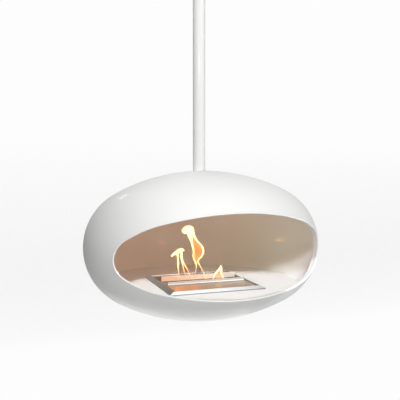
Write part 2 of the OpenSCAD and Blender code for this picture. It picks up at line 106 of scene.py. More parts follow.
def stove_paint(name, colour, gloss_coat):
    """Satin paint, a little uneven in tone and sheen, under so much clear gloss."""
    material, tree, shader, place = new_material(name)
    tone = ramp(tree, noise(tree, place, TONE_BLOBS), [c * 0.985 for c in colour], colour)
    tree.links.new(tone, shader.inputs["Base Color"])
    gloss = ramp(tree, noise(tree, place, SHEEN_BLOBS), 0.40, 0.46)
    tree.links.new(gloss, shader.inputs["Roughness"])
    shader.inputs["Specular IOR Level"].default_value = 0.0
    shader.inputs["Coat Weight"].default_value = gloss_coat
    shader.inputs["Coat Roughness"].default_value = COAT_ROUGHNESS
    bump(tree, shader, noise(tree, place, PEEL_BLOBS, 1.0), PEEL_DEPTH)
    return material


def coat(node, material):
    """Gives a CAD node its material."""
    slots = nodes[node].data.materials
    slots.clear()
    slots.append(material)


paint = stove_paint("white_stove_paint", WHITE, PAINT_COAT)
for node in ("pole", "ceiling_canopy", "canopy_screws", "hearth_deck"):
    coat(node, paint)

# ---- Hidden hardware ----
# Zinc-plated screws, nuts, plugs and brackets, black set screws, a turned bronze bush
# and sheet steel for the well, the tank and the screen. The tank is packed with wool.

PLATING_GRAIN = 260.0
SHEET_GRAIN = 120.0
GLOSS_BLOBS = 90.0
GRAIN_DEPTH = 0.00002


def plated_steel(name, colour, roughness, grain=PLATING_GRAIN):
    """Bare or plated metal with a fine grain of so many spots a metre."""
    material, tree, shader, place = new_material(name)
    shade = ramp(tree, noise(tree, place, grain, 3.0), [c * 0.86 for c in colour], colour)
    tree.links.new(shade, shader.inputs["Base Color"])
    shader.inputs["Metallic"].default_value = 1.0
    gloss = ramp(tree, noise(tree, place, GLOSS_BLOBS), roughness - 0.05, roughness + 0.07)
    tree.links.new(gloss, shader.inputs["Roughness"])
    bump(tree, shader, noise(tree, place, grain * 3), GRAIN_DEPTH)
    return material


zinc = plated_steel("zinc_plated_steel", (0.66, 0.67, 0.68), 0.36)
black_steel = plated_steel("black_oiled_steel", (0.10, 0.10, 0.11), 0.45)
bronze = plated_steel("turned_bronze", (0.62, 0.42, 0.19), 0.33)
sheet_steel = plated_steel("plain_sheet_steel", (0.55, 0.56, 0.57), 0.30, SHEET_GRAIN)

for node in (
    "ceiling_plate", "swivel_housing", "flange_screws", "thrust_washer", "swivel_spindle",
    "lock_nut", "pole_head_plug", "pole_foot_plug", "neck_boss", "clamp_washer",
    "clamp_bolt", "deck_tabs", "deck_studs", "deck_nuts",
):
    coat(node, zinc)
coat("neck_set_screws", black_steel)
coat("swivel_bush", bronze)
for node in ("burner_well", "fuel_tank", "fuel_screen"):
    coat(node, sheet_steel)

FIBRES = 900.0
FIBRE_DEPTH = 0.0006


def wool_block():
    """Pressed ceramic fibre, felted along one way and matt."""
    material, tree, shader, place = new_material("ceramic_wool")
    fibres = noise(tree, place, FIBRES, 6.0, (1, 0.2, 1))
    tone = ramp(tree, fibres, (0.62, 0.58, 0.50), (0.86, 0.83, 0.77))
    tree.links.new(tone, shader.inputs["Base Color"])
    shader.inputs["Roughness"].default_value = 0.95
    shader.inputs["Sheen Weight"].default_value = 0.3
    bump(tree, shader, fibres, FIBRE_DEPTH)
    return material


coat("ceramic_wool", wool_block())

# ---- Body ----
# Two dishes of sheet steel, spun, welded at the widest line, ground flush and painted,
# so that no seam shows. The flank is one round turn and the crown a flatter arc.

MERGE = 1e-6
GROUND_OFF = 0.00005
BODY_R = 0.450 - GROUND_OFF
BODY_HALF_H = 0.2865 - GROUND_OFF
FLANK_R = 0.231 - GROUND_OFF
SHELL = 0.003
LEAN = math.radians(4.8)
FORWARD = 0.0185
POLE_SINK = 0.054

FLANK_X = BODY_R - FLANK_R
CROWN_R = (FLANK_X**2 + BODY_HALF_H**2 - FLANK_R**2) / (2 * (BODY_HALF_H - FLANK_R))
CROWN_DROP = CROWN_R - BODY_HALF_H
TURN = math.atan2(CROWN_DROP, FLANK_X)
body_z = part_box("pole")[0].z + POLE_SINK - BODY_HALF_H - GROUND_OFF


def place_body(points):
    """From the body's own frame, level and centred, to where it hangs."""
    x, y, z = np.moveaxis(np.asarray(points, float), -1, 0)
    c, s = math.cos(LEAN), math.sin(LEAN)
    return np.stack([x, y * c + z * s - FORWARD, body_z - y * s + z * c], -1)


def oval_radius(z, inset=0.0):
    """How far the skin stands from its own axis at height z."""
    z = np.abs(z)
    flank, crown = FLANK_R - inset, CROWN_R - inset
    on_flank = z < flank * math.sin(TURN)
    return np.where(
        on_flank,
        FLANK_X + np.sqrt(np.maximum(flank**2 - z**2, 0)),
        np.sqrt(np.maximum(crown**2 - (z + CROWN_DROP) ** 2, 0)),
    )


def cast_on_oval(direction, inset=0.0):
    """Where a ray from the body's centre meets the skin."""
    d = direction / np.linalg.norm(direction, axis=-1, keepdims=True)
    across, up = np.hypot(d[..., 0], d[..., 1]), np.abs(d[..., 2])
    flank, crown = FLANK_R - inset, CROWN_R - inset
    turn_angle = math.atan2(flank * math.sin(TURN), FLANK_X + flank * math.cos(TURN))
    to_flank = FLANK_X * across + np.sqrt(np.maximum(flank**2 - (FLANK_X * up) ** 2, 0))
    to_crown = -CROWN_DROP * up + np.sqrt(np.maximum(crown**2 - (CROWN_DROP * across) ** 2, 0))
    reach = np.where(np.arctan2(up, across) < turn_angle, to_flank, to_crown)
    return d * reach[..., None]


def oval_normal(points):
    """The skin's outward normal at points on it."""
    x, y, z = np.moveaxis(points, -1, 0)
    across = np.hypot(x, y)
    on_flank = np.abs(z) < (across - FLANK_X) * math.tan(TURN)
    centre = np.where(on_flank, FLANK_X, 0.0)
    drop = np.where(on_flank, 0.0, CROWN_DROP)
    out, rise = across - centre, np.abs(z) + drop
    size = np.hypot(out, rise)
    out, rise = out / size, rise / size * np.sign(z)
    return np.stack([x / across * out, y / across * out, rise], -1)


# The opening's outline, seen along the body's own Y: narrow ends, shoulders and
# long arches, each arc tangent to the next.
OPENING_W = 0.766
OPENING_H = 0.280
OPENING_DROP = 0.025
END_R = 0.079
SHOULDER_R = 0.282
END_TURN = math.radians(54)
OUTLINE_STEPS = 480

end_x = OPENING_W / 2 - END_R
shoulder_x = end_x - (SHOULDER_R - END_R) * math.cos(END_TURN)
shoulder_y = (SHOULDER_R - END_R) * math.sin(END_TURN)
arch_turn = math.pi / 2 - 2 * math.atan((OPENING_H / 2 + shoulder_y - SHOULDER_R) / shoulder_x)
arch_r = SHOULDER_R + shoulder_x / math.cos(arch_turn)
arch_y = shoulder_y + (arch_r - SHOULDER_R) * math.sin(arch_turn)


def outline():
    """Centres, radii and directions of the outline at even steps, once round."""
    half = math.pi / 2
    quarter = [
        (end_x, 0.0, END_R, 0.0, END_TURN),
        (shoulder_x, -shoulder_y, SHOULDER_R, END_TURN, arch_turn),
        (0.0, -arch_y, arch_r, arch_turn, half),
    ]
    arcs = list(quarter)
    arcs += [(-x, y, r, math.pi - b, math.pi - a) for x, y, r, a, b in reversed(quarter)]
    arcs += [(-x, -y, r, math.pi + a, math.pi + b) for x, y, r, a, b in quarter]
    arcs += [(x, -y, r, -b, -a) for x, y, r, a, b in reversed(quarter)]
    lengths = np.cumsum([0.0] + [r * (b - a) for _, _, r, a, b in arcs])
    rows = []
    for s in np.arange(OUTLINE_STEPS) / OUTLINE_STEPS * lengths[-1]:
        k = min(np.searchsorted(lengths, s, side="right") - 1, len(arcs) - 1)
        x, y, r, a, b = arcs[k]
        rows.append((x, y, r, a + (s - lengths[k]) / r))
    return np.array(rows)


OUTLINE = outline()
RIM_FACE = np.stack([np.cos(OUTLINE[:, 3]), np.zeros(OUTLINE_STEPS), np.sin(OUTLINE[:, 3])], -1)


def edge_on_oval(grow, inset=0.0):
    """The outline, grown by so much, on the skin or on its offset inside."""
    reach = OUTLINE[:, 2] + grow
    x = OUTLINE[:, 0] + reach * RIM_FACE[:, 0]
    z = OUTLINE[:, 1] + reach * RIM_FACE[:, 2] - OPENING_DROP
    return np.stack([x, -np.sqrt(oval_radius(z, inset) ** 2 - x**2), z], -1)


def unit(v):
    """Vectors of length 1."""
    return v / np.linalg.norm(v, axis=-1, keepdims=True)


def rings_mesh(name, rings, closed=False):
    """A mesh from rings of points, each joined to the next, round an opening."""
    count = len(rings[0])
    points = [tuple(p) for p in place_body(np.concatenate(rings))]
    faces = []
    last = len(rings) if closed else len(rings) - 1
    for i in range(last):
        a, b = i * count, (i + 1) % len(rings) * count
        for j in range(count):
            k = (j + 1) % count
            faces.append((a + j, a + k, b + k, b + j))
    mesh = bpy.data.meshes.new(name)
    mesh.from_pydata(points, [], faces)
    piece = bpy.data.objects.new(name, mesh)
    bpy.context.scene.collection.objects.link(piece)
    work = bmesh.new()
    work.from_mesh(mesh)
    bmesh.ops.remove_doubles(work, verts=work.verts, dist=MERGE)
    bmesh.ops.recalc_face_normals(work, faces=work.faces)
    for face in work.faces:
        face.smooth = True
    work.to_mesh(mesh)
    work.free()
    return piece


# The skin stops at a hair-fine groove round the rim band. Rows of points run from there
# to the middle of the back, closer together near the opening.
RIM_T = 0.004
GROOVE = 0.00006
GROOVE_DEPTH = 0.0003
GROOVE_EDGE = 0.0001
SKIN_ROWS = 84
ROW_CROWDING = 1.15
NEAR_EDGE = 0.0006
BACK = np.array([0.0, 1.0, 0.0])


def skin_fan(start, inset):
    """Rings on the skin from the opening's edge round to the middle of the back.

    The first lies close to the edge, so that the shading stays true right up to it.
    """
    first = unit(start)
    angle = np.arccos(first @ BACK)[:, None]
    rings = []
    for share in [NEAR_EDGE, *(np.arange(1, SKIN_ROWS + 1) / SKIN_ROWS) ** ROW_CROWDING]:
        turned = np.sin((1 - share) * angle) * first + np.sin(share * angle) * BACK
        rings.append(cast_on_oval(turned, inset))
    return rings


def rounded(corner, start, end, radius, steps):
    """Rings round a square corner, from its start side over to its end side."""
    turns = np.linspace(0, math.pi / 2, steps + 1)
    return [
        corner + radius * (start * (1 - math.sin(t)) + end * (1 - math.cos(t))) for t in turns
    ]


def groove_shoulder(corner):
    """The rounded edge of the skin at the groove, from the groove's floor up."""
    normal = oval_normal(corner)
    along = unit(np.cross(normal, RIM_FACE))
    away = unit(np.cross(normal, along))
    return [corner - GROOVE_DEPTH * normal] + rounded(corner, -normal, away, GROOVE_EDGE, 3)


outer_edge = groove_shoulder(edge_on_oval(RIM_T + GROOVE))
inner_start = edge_on_oval(RIM_T + GROOVE, SHELL)
skin_rings = (
    list(reversed(skin_fan(outer_edge[-1], 0.0)))
    + list(reversed(outer_edge))
    + [inner_start]
    + skin_fan(inner_start, SHELL)
)
skin = rings_mesh("body_skin", skin_rings)
skin.data.materials.append(paint)
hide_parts("upper_dish", "lower_dish")
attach(skin, "hearth")

# ---- Rim of the opening ----
# A band of flat steel bent to the opening's outline and welded in. Its front edge is
# left square, with its corners just broken, and it stands in past the sheet.

RIM_DEPTH = 0.018
OUTER_ROUND = 0.00015
INNER_ROUND = 0.0007
FLAT_FROM = 0.25
WALL_ROWS = (0.03, 0.1, 0.28, 0.46, 0.64, 0.82, 1.0)
EDGE_HIGHLIGHT_WHITE = (0.97, 0.97, 0.955)
FACES_FRONT = -0.6

outer_corner = edge_on_oval(RIM_T - GROOVE)
inner_corner = outer_corner - RIM_FACE * (RIM_T - GROOVE)
rim_rings = [outer_corner + BACK * (GROOVE_DEPTH + OUTER_ROUND)]
rim_rings += rounded(outer_corner, BACK, -RIM_FACE, OUTER_ROUND, 3)
for share in (FLAT_FROM, 1 - FLAT_FROM):
    rim_rings.append(outer_corner + (inner_corner - outer_corner) * share)
rim_rings += rounded(inner_corner, RIM_FACE, BACK, INNER_ROUND, 4)
wall_front, wall_back = rim_rings[-1], edge_on_oval(0.0, RIM_DEPTH)
rim_rings += [wall_front + (wall_back - wall_front) * s for s in WALL_ROWS]
rim_rings += [edge_on_oval(RIM_T, RIM_DEPTH), edge_on_oval(RIM_T, SHELL / 2)]
rim = rings_mesh("opening_band", rim_rings, closed=True)
rim.data.materials.append(paint)
# The band's front faces take a lighter white than the body: painted highlight.
rim.data.materials.append(stove_paint("white_stove_paint_edge", EDGE_HIGHLIGHT_WHITE, 1.0))
for face in rim.data.polygons:
    face.material_index = 1 if face.normal.y < FACES_FRONT else 0
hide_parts("opening_rim")
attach(rim, "hearth")

# ---- Burner tray ----
# Folded stainless sheet: a bevelled frame that rests on the deck, brushed along each
# side, a polished top plate with the fire slot, the fixed rear rail and two lid guides.

EDGE_ROUND = 0.0006
FRAME_ROUND = 0.0012
GUIDE_ROUND = 0.0003
FLAT_WITHIN = math.radians(2)
SHARP_BEYOND = math.radians(15)


def dress(node, name, materials, rounding=EDGE_ROUND, choose=None):
    """A copy of a CAD piece with its sharp edges broken, which stands for it."""
    mesh = nodes[node].data.copy()
    mesh.name = name
    mesh.materials.clear()
    for material in materials:
        mesh.materials.append(material)
    work = bmesh.new()
    work.from_mesh(mesh)
    bmesh.ops.remove_doubles(work, verts=work.verts, dist=MERGE)
    bmesh.ops.dissolve_limit(work, angle_limit=FLAT_WITHIN, verts=work.verts, edges=work.edges)
    inner = [e for e in work.edges if len(e.link_faces) == 2]
    bmesh.ops.bevel(
        work,
        geom=[e for e in inner if e.calc_face_angle() > SHARP_BEYOND],
        offset=rounding,
        segments=3,
        profile=0.5,
        affect="EDGES",
        clamp_overlap=True,
    )
    for face in work.faces:
        face.smooth = True
        face.material_index = choose(face) if choose else 0
    work.to_mesh(mesh)
    work.free()
    piece = bpy.data.objects.new(name, mesh)
    bpy.context.scene.collection.objects.link(piece)
    harden = piece.modifiers.new("harden", "WEIGHTED_NORMAL")
    harden.keep_sharp = False
    bpy.context.view_layer.objects.active = piece
    piece.select_set(True)
    bpy.ops.object.modifier_apply(modifier=harden.name)
    piece.select_set(False)
    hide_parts(node)
    return piece


# Brush lines: how many a metre across them, which way they lie, and how deep they are.
BRUSH_LINES = 2600.0
ALONG_X, ALONG_Y = (0.01, 1, 1), (1, 0.01, 1)
BRUSH_DEPTH = 0.00001


def brushed_steel(name, colour, roughness, lie, spread=0.0, across=None, metallic=1.0):
    """Stainless sheet with fine brush lines; its shine spreads out across them."""
    material, tree, shader, place = new_material(name)
    lines = noise(tree, place, BRUSH_LINES, 3.0, lie)
    shade = ramp(tree, lines, [c * 0.88 for c in colour], colour)
    tree.links.new(shade, shader.inputs["Base Color"])
    shader.inputs["Metallic"].default_value = metallic
    gloss = ramp(tree, lines, roughness - 0.05, roughness + 0.05)
    tree.links.new(gloss, shader.inputs["Roughness"])
    if across:
        shader.inputs["Anisotropic"].default_value = spread
        way = tree.nodes.new("ShaderNodeVectorTransform")
        way.vector_type = "VECTOR"
        way.convert_from, way.convert_to = "OBJECT", "WORLD"
        way.inputs["Vector"].default_value = across
        tree.links.new(way.outputs["Vector"], shader.inputs["Tangent"])
    bump(tree, shader, lines, BRUSH_DEPTH)
    return material


def measured(tree, place, axis, start, end, low, high):
    """A value from low to high as the place goes from start to end along an axis."""
    apart = tree.nodes.new("ShaderNodeSeparateXYZ")
    tree.links.new(place, apart.inputs["Vector"])
    share = tree.nodes.new("ShaderNodeMapRange")
    share.inputs["From Min"].default_value, share.inputs["From Max"].default_value = start, end
    share.inputs["To Min"].default_value, share.inputs["To Max"].default_value = low, high
    tree.links.new(apart.outputs[axis], share.inputs["Value"])
    return share.outputs["Result"]


def painted_light_along(material, axis, start, end, low, high):
    """Paints light and shade onto a steel, from low to high along an axis: darker sides, and the
    fire's warm glow and reflections.
    """
    tree = material.node_tree
    shader = tree.nodes["Principled BSDF"]
    place = tree.nodes.new("ShaderNodeTexCoord").outputs["Object"]
    share = measured(tree, place, axis, start, end, RAMP_FROM, RAMP_TO)
    mix = tree.nodes.new("ShaderNodeMix")
    mix.data_type, mix.blend_type = "RGBA", "MULTIPLY"
    mix.inputs["Factor"].default_value = 1.0
    tree.links.new(shader.inputs["Base Color"].links[0].from_socket, mix.inputs[6])
    tree.links.new(ramp(tree, share, low, high), mix.inputs[7])
    tree.links.new(mix.outputs[2], shader.inputs["Base Color"])
    return material


BRIGHT_STEEL = (0.99, 0.99, 0.99)
POLISHED_STEEL = (0.98, 0.98, 0.98)
# The side bars and guides are the same stainless as the bright bars, painted darker as shade.
SIDE_BAR_SHADE_STEEL = (0.38, 0.385, 0.36)
HEM_SHADE_STEEL = (0.30, 0.30, 0.29)
TOP_PLATE_SHADE_STEEL = (0.27, 0.19, 0.14)
ACROSS_X, ACROSS_Y, ACROSS_Z = (1, 0, 0), (0, 1, 0), (0, 0, 1)

# The front and rear bars grow greyer from the middle to the right end: painted shade.
brushed_across = painted_light_along(
    brushed_steel("steel_brushed_across", BRIGHT_STEEL, 0.62, ALONG_X, 0.85, ACROSS_Y, 0.5),
    "X", 0.00, 0.18, (1.0, 1.0, 1.0), (0.60, 0.60, 0.60),
)
# The side bars and guides, darker still towards the front: painted shade.
brushed_along = painted_light_along(
    brushed_steel("steel_brushed_along", SIDE_BAR_SHADE_STEEL, 0.50, ALONG_Y, 0.80, ACROSS_X, 0.35),
    "Y", -0.22, 0.10, (0.55, 0.53, 0.50), (1.0, 1.0, 1.0),
)
# A dark grey copy of the steel for the frame's outer hem and the strip's foot: painted shade.
hem = brushed_steel("steel_hem_in_shade", HEM_SHADE_STEEL, 0.50, ALONG_X)
# The top plate's polished steel is painted dark brown, as the shade it lies in behind the rail.
plate_polish = brushed_steel("steel_top_polished", TOP_PLATE_SHADE_STEEL, 0.30, ALONG_X)
# The rail behind is tinted peach at the left and cream at the right: painted glow of the fire.
rail_polish = painted_light_along(
    brushed_steel("steel_rail_behind", POLISHED_STEEL, 0.36, ALONG_X, 0.6, ACROSS_Z, 0.6),
    "X", -0.12, 0.12, (0.90, 0.64, 0.45), (1.0, 0.91, 0.79),
)

frame_low, frame_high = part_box("burner_frame")
burner_y = (frame_low.y + frame_high.y) / 2
deck_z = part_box("hearth_deck")[1].z
HEM_BAND = 0.002
STANDS_UP = 0.3


def side_bar(face):
    """2 on the frame's outer hem, in painted shade; 1 on its left and right bars, painted darker;
    0 on front and rear.
    """
    middle = face.calc_center_median()
    from_side = (frame_high.x - frame_low.x) / 2 - abs(middle.x)
    from_end = (frame_high.y - frame_low.y) / 2 - abs(middle.y - burner_y)
    if abs(face.normal.z) < STANDS_UP and min(from_side, from_end) < HEM_BAND:
        return 2
    return 1 if from_side < from_end else 0


tray_steels = [brushed_across, brushed_along, hem]
tray = dress("burner_frame", "tray_frame", tray_steels, FRAME_ROUND, side_bar)
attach(tray, "burner")
for node, name, finish in (
    ("burner_top", "tray_top", plate_polish),
    ("rear_rail", "rail_behind", rail_polish),
):
    piece = dress(node, name, [finish])
    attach(piece, "burner")
for node, name in (("lid_guide_left", "guide_left"), ("lid_guide_right", "guide_right")):
    piece = dress(node, name, [brushed_along], GUIDE_ROUND)
    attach(piece, "burner")

# ---- Lid ----
# A polished sheet that slides over the slot, and the upright strip folded up along
# its rear edge: the strip flares out at its foot, above a fine shadow gap painted dark.

# The lid is tinted copper at the left and paler at the right: painted reflection of the fire.
lid_polish = painted_light_along(
    brushed_steel("steel_lid_polished", POLISHED_STEEL, 0.30, ALONG_X, 1.0, ACROSS_Y),
    "X", -0.15, 0.10, (0.90, 0.62, 0.42), (0.88, 0.80, 0.70),
)
lid = dress("lid_plate", "lid_sheet", [lid_polish])
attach(lid, "lid")

# The strip's section: (back from its front face, up from its foot) in millimetres.
STRIP_DEEP, STRIP_TALL = 6.0, 14.0
STRIP = [
    (1.9, 0.0), (1.9, 1.9), (0.2, 2.0), (0.0, 2.2), (0.25, 3.1), (0.6, 4.2), (1.0, 5.3),
    (1.3, 6.2), (1.35, 6.9), (1.75, 12.6), (1.9, 13.3), (2.2, 13.8), (2.7, 14.0), (5.1, 14.0),
    (5.7, 13.7), (6.0, 13.1), (6.0, 0.0),
]
# Its closed ends, with their edges broken: (in from the end, how far the section shrinks).
STRIP_ENDS = [(0.0, 0.0007), (0.0003, 0.0002), (0.0010, 0.0)]
SHADOW_GAP = 0.0021
FOLD_BEYOND = math.radians(50)
TONE_FROM, TONE_TO = 0.0055, 0.0080


def folded_strip(node, name):
    """The strip's section drawn out along X inside the node's box."""
    low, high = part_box(node)
    depth, rise = high.y - low.y, high.z - low.z
    stations = [(low.x + x, inset) for x, inset in STRIP_ENDS]
    stations += [(high.x - x, inset) for x, inset in reversed(STRIP_ENDS)]
    points, faces = [], []
    for x, inset in stations:
        for back, up in STRIP:
            y = low.y + min(max(back / STRIP_DEEP * depth, inset), depth - inset)
            z = low.z + min(up / STRIP_TALL * rise, rise - inset)
            points.append((x, y, z))
    count = len(STRIP)
    for i in range(len(stations) - 1):
        for j in range(count):
            k = (j + 1) % count
            faces.append((i * count + j, i * count + k, (i + 1) * count + k, (i + 1) * count + j))
    faces.append(tuple(range(count)))
    faces.append(tuple(reversed(range((len(stations) - 1) * count, len(stations) * count))))
    mesh = bpy.data.meshes.new(name)
    mesh.from_pydata(points, [], faces)
    work = bmesh.new()
    work.from_mesh(mesh)
    bmesh.ops.recalc_face_normals(work, faces=work.faces)
    for face in work.faces:
        face.smooth = len(face.verts) == 4
        # Faces within the foot's shadow gap take the hem's dark steel: painted shade.
        face.material_index = 1 if max(v.co.z for v in face.verts) < low.z + SHADOW_GAP else 0
    for edge in work.edges:
        if len(edge.link_faces) == 2 and edge.calc_face_angle() > FOLD_BEYOND:
            edge.smooth = False
    work.to_mesh(mesh)
    work.free()
    piece = bpy.data.objects.new(name, mesh)
    bpy.context.scene.collection.objects.link(piece)
    return piece


strip = folded_strip("lid_rail", "rail_in_front")
strip_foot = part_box("lid_rail")[0].z
# The strip is near white at its foot and pinkish grey above: painted reflection of the lit deck
# and the shaded roof inside.
strip_polish = painted_light_along(
    brushed_steel("steel_rail_in_front", POLISHED_STEEL, 0.30, ALONG_X, 0.5, ACROSS_Z),
    "Z", strip_foot + TONE_FROM, strip_foot + TONE_TO, (1.0, 0.99, 0.98), (0.86, 0.78, 0.73),
)
strip.data.materials.append(strip_polish)
strip.data.materials.append(hem)
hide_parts("lid_rail")
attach(strip, "lid")

# ---- Flames ----
# Three open flames of burning spirit, which stand on the screen in the slot. Each
# is a thin bright sheet drawn into strands, hollow and orange where it opens out.

SLOT_Y = burner_y
FLAME_FOOT = -0.004
FLAME_DEPTH = 0.75
THINNEST = 0.7
SLIM = 0.80
STRAND_SIDES = 14
SHEET_SIDES = 20

# Strands: (across from the pole's axis, above the deck, half width) in millimetres.
TALL_FLAME = [
    [(-77.5, 207.0, 9.0), (-71.2, 211.5, 11.8), (-62.2, 214.0, 13.8), (-51.5, 214.1, 13.6),
     (-43.4, 210.6, 10.3), (-40.6, 204.6, 6.6)],
    [(-77, 203, 7), (-71, 202, 8), (-63, 204, 10), (-53, 205, 11)],
    [(-51.5, 201.7, 11.9), (-51.8, 193.1, 12.9), (-48.9, 179.6, 9.3), (-45.3, 165.3, 6.0),
     (-42.6, 149.4, 4.1), (-38.5, 136.6, 4.0), (-36.8, 120.7, 3.2), (-38.5, 108.2, 3.0),
     (-36.2, 97.0, 2.7), (-30.5, 84.8, 2.8), (-26.7, 74.2, 2.6), (-25.5, 66.2, 2.3),
     (-27.4, 56.8, 2.0), (-29.7, 49.8, 1.8), (-31.1, 41.2, 1.6), (-31.7, 25.3, 1.4),
     (-32, -3, 1.0)],
    [(-39.9, 199.7, 6.6), (-37.0, 191.7, 6.0), (-33.0, 182.1, 4.7), (-27.8, 172.4, 4.5),
     (-20.3, 161.9, 4.3), (-10.3, 151.4, 4.7), (-1.9, 140.4, 5.0), (1.8, 128.3, 4.7),
     (0.9, 116.5, 4.4), (-4.1, 106.4, 4.0), (-12.5, 97.3, 3.7), (-19.7, 89.7, 3.3),
     (-18.9, 81.7, 2.8), (-14.2, 73.5, 2.4), (-8.3, 63.6, 2.3), (-3.3, 53.8, 2.2),
     (2.1, 43.9, 2.1), (6.9, 32.4, 1.9), (11.1, 22.5, 1.7), (14.5, 14.3, 1.5), (20, -3, 1.0)],
]
LEFT_FLAME = [
    [(-124.8, 112.6, 3.6), (-116.2, 119.7, 5.8), (-105.6, 124.9, 8.1), (-93.4, 131.0, 9.5),
     (-84.4, 133.3, 8.2), (-78.2, 131.9, 4.9)],
    [(-102.1, 116.1, 4.9), (-100.8, 108.2, 3.3), (-100.3, 100.4, 3.3), (-99.7, 92.5, 3.9),
     (-99.7, 83.1, 4.4), (-99.9, 72.1, 4.0), (-98.9, 61.1, 3.2), (-97.8, 51.6, 2.5),
     (-97.4, 40.6, 1.9), (-97.1, 29.6, 1.4), (-97, -3, 1.0)],
    [(-86.9, 124.8, 5.6), (-86.4, 115.3, 5.9), (-85.6, 104.3, 5.2), (-83.9, 94.8, 4.9),
     (-82.2, 86.1, 3.9), (-81.8, 77.4, 3.0), (-79.6, 67.8, 2.6), (-77.0, 58.2, 2.2),
     (-74.6, 50.2, 1.8), (-72.5, 40.6, 1.6), (-70.5, 27.8, 1.3), (-66, -3, 1.0)],
    [(-80.9, 88.3, 3.9), (-76.7, 81.0, 3.0), (-71.4, 72.1, 2.8), (-65.7, 62.3, 2.4),
     (-60.6, 52.5, 2.1), (-55.8, 42.7, 1.8), (-50.0, 31.3, 1.7), (-44.7, 20.6, 1.5),
     (-36, -3, 1.0)],
]
RIGHT_FLAME = [
    [(75.7, 64.2, 1.6), (75.8, 59.7, 3.9), (75.8, 53.6, 5.7), (76.3, 46.8, 5.8),
     (77.0, 40.7, 4.7), (77.2, 34.6, 4.0), (79.3, 28.4, 3.4), (81.5, 23.8, 2.9),
     (84.2, 18.6, 2.3), (90, -3, 1.4)],
    [(72.9, 56.1, 3.7), (69.1, 50.3, 4.2), (64.1, 45.3, 4.0), (59.7, 40.3, 3.5),
     (55.3, 35.2, 3.1), (50.5, 28.8, 2.7), (46.3, 22.6, 2.2), (38, -3, 1.2)],
]
# Hollow sheets between strands: (above the deck, left edge, right edge).
TALL_HOLLOW = [
    (176, -42, -35), (164, -40, -26), (154, -38, -13), (143, -37, -5), (130, -36, -1),
    (117, -37, -1), (106, -37, -6), (96, -35, -16), (87, -31, -22), (79, -27, -22),
]
RIGHT_HOLLOW = [
    (44, 66, 74), (40, 60, 77), (34, 55, 80), (27, 50, 82), (18, 44, 85), (4, 40, 89),
]


def smooth_path(knots, per_span=6):
    """Points and half widths along a smooth curve through the knots."""
    k = np.array(knots, float)
    k = np.vstack([2 * k[0] - k[1], k, 2 * k[-1] - k[-2]])
    rows = []
    for a, b, c, d in zip(k, k[1:], k[2:], k[3:]):
        for t in np.arange(per_span) / per_span:
            bend = (2 * a - 5 * b + 4 * c - d) * t**2 + (3 * b - a - 3 * c + d) * t**3
            rows.append(0.5 * (2 * b + (c - a) * t + bend))
    rows.append(k[-2])
    return np.array(rows)


def join_rings(work, rings):
    """Faces between one ring of points and the next, and a cap at either end."""
    for a, b in zip(rings, rings[1:]):
        for j in range(len(a)):
            work.faces.new((a[j - 1], a[j], b[j], b[j - 1]))
    work.faces.new(rings[0])
    work.faces.new(list(reversed(rings[-1])))


def circle(sides):
    """Even angles, once round."""
    return np.arange(sides) / sides * 2 * math.pi


def strand(work, knots, grow):
    """A tapered tube along the knots with rounded ends, in the plane of the slot."""
    rows = smooth_path(knots)
    centre, half = rows[:, :2], np.maximum(rows[:, 2] * SLIM, THINNEST) + grow
    along = unit(np.gradient(centre, axis=0))
    last = len(rows) - 1
    # (row, how far past it, share of its width): two smaller rings round off each end.
    stations = [(0, -0.95, 0.3), (0, -0.7, 0.7)]
    stations += [(i, 0.0, 1.0) for i in range(len(rows))]
    stations += [(last, 0.7, 0.7), (last, 0.95, 0.3)]
    rings = []
    for i, ahead, share in stations:
        middle = centre[i] + along[i] * half[i] * ahead
        side = np.array([along[i][1], -along[i][0]])
        ring = []
        for a in circle(STRAND_SIDES):
            flat = middle + side * half[i] * share * math.cos(a)
            depth = half[i] * share * FLAME_DEPTH * math.sin(a)
            at = (flat[0] / 1000, SLOT_Y + depth / 1000, deck_z + flat[1] / 1000)
            ring.append(work.verts.new(at))
        rings.append(ring)
    join_rings(work, rings)


def sheet(work, rows, depth):
    """A closed pillow between a left and a right edge, so many metres deep."""
    rings = []
    for up, left, right in smooth_path(rows):
        middle, half = (left + right) / 2000, (right - left) / 2000
        ring = []
        for a in circle(SHEET_SIDES):
            at = (middle + half * math.cos(a), SLOT_Y + depth * math.sin(a), deck_z + up / 1000)
            ring.append(work.verts.new(at))
        rings.append(ring)
    join_rings(work, rings)


def flame_piece(name, work, material, voxel=0.0):
    """A flame from a mesh; a voxel size melts its strands into one skin."""
    bmesh.ops.recalc_face_normals(work, faces=work.faces)
    mesh = bpy.data.meshes.new(name)
    work.to_mesh(mesh)
    work.free()
    mesh.materials.append(material)
    piece = bpy.data.objects.new(name, mesh)
    bpy.context.scene.collection.objects.link(piece)
    if voxel:
        bpy.context.view_layer.objects.active = piece
        melt = piece.modifiers.new("melt", "REMESH")
        melt.mode = "VOXEL"
        melt.voxel_size = voxel
        melt.use_smooth_shade = True
        soften = piece.modifiers.new("soften", "SMOOTH")
        soften.iterations = 4
        bpy.ops.object.modifier_apply(modifier="melt")
        bpy.ops.object.modifier_apply(modifier="soften")
    for face in piece.data.polygons:
        face.use_smooth = True
    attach(piece, "burner")
    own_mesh(piece)


def made_uneven(tree, value, cloud, weight):
    """The value with so much of a noise added."""
    uneven = tree.nodes.new("ShaderNodeMath")
    uneven.operation = "MULTIPLY_ADD"
    uneven.inputs[1].default_value = weight
    tree.links.new(cloud, uneven.inputs[0])
    tree.links.new(value, uneven.inputs[2])
    return uneven.outputs[0]


def glowing_gas(name, strength):
    """A material that only glows, and mirrors nothing."""
    material, tree, shader, place = new_material(name)
    shader.inputs["Emission Strength"].default_value = strength
    shader.inputs["Specular IOR Level"].default_value = 0.0
    shader.inputs["Roughness"].default_value = 1.0
    return material, tree, shader, place


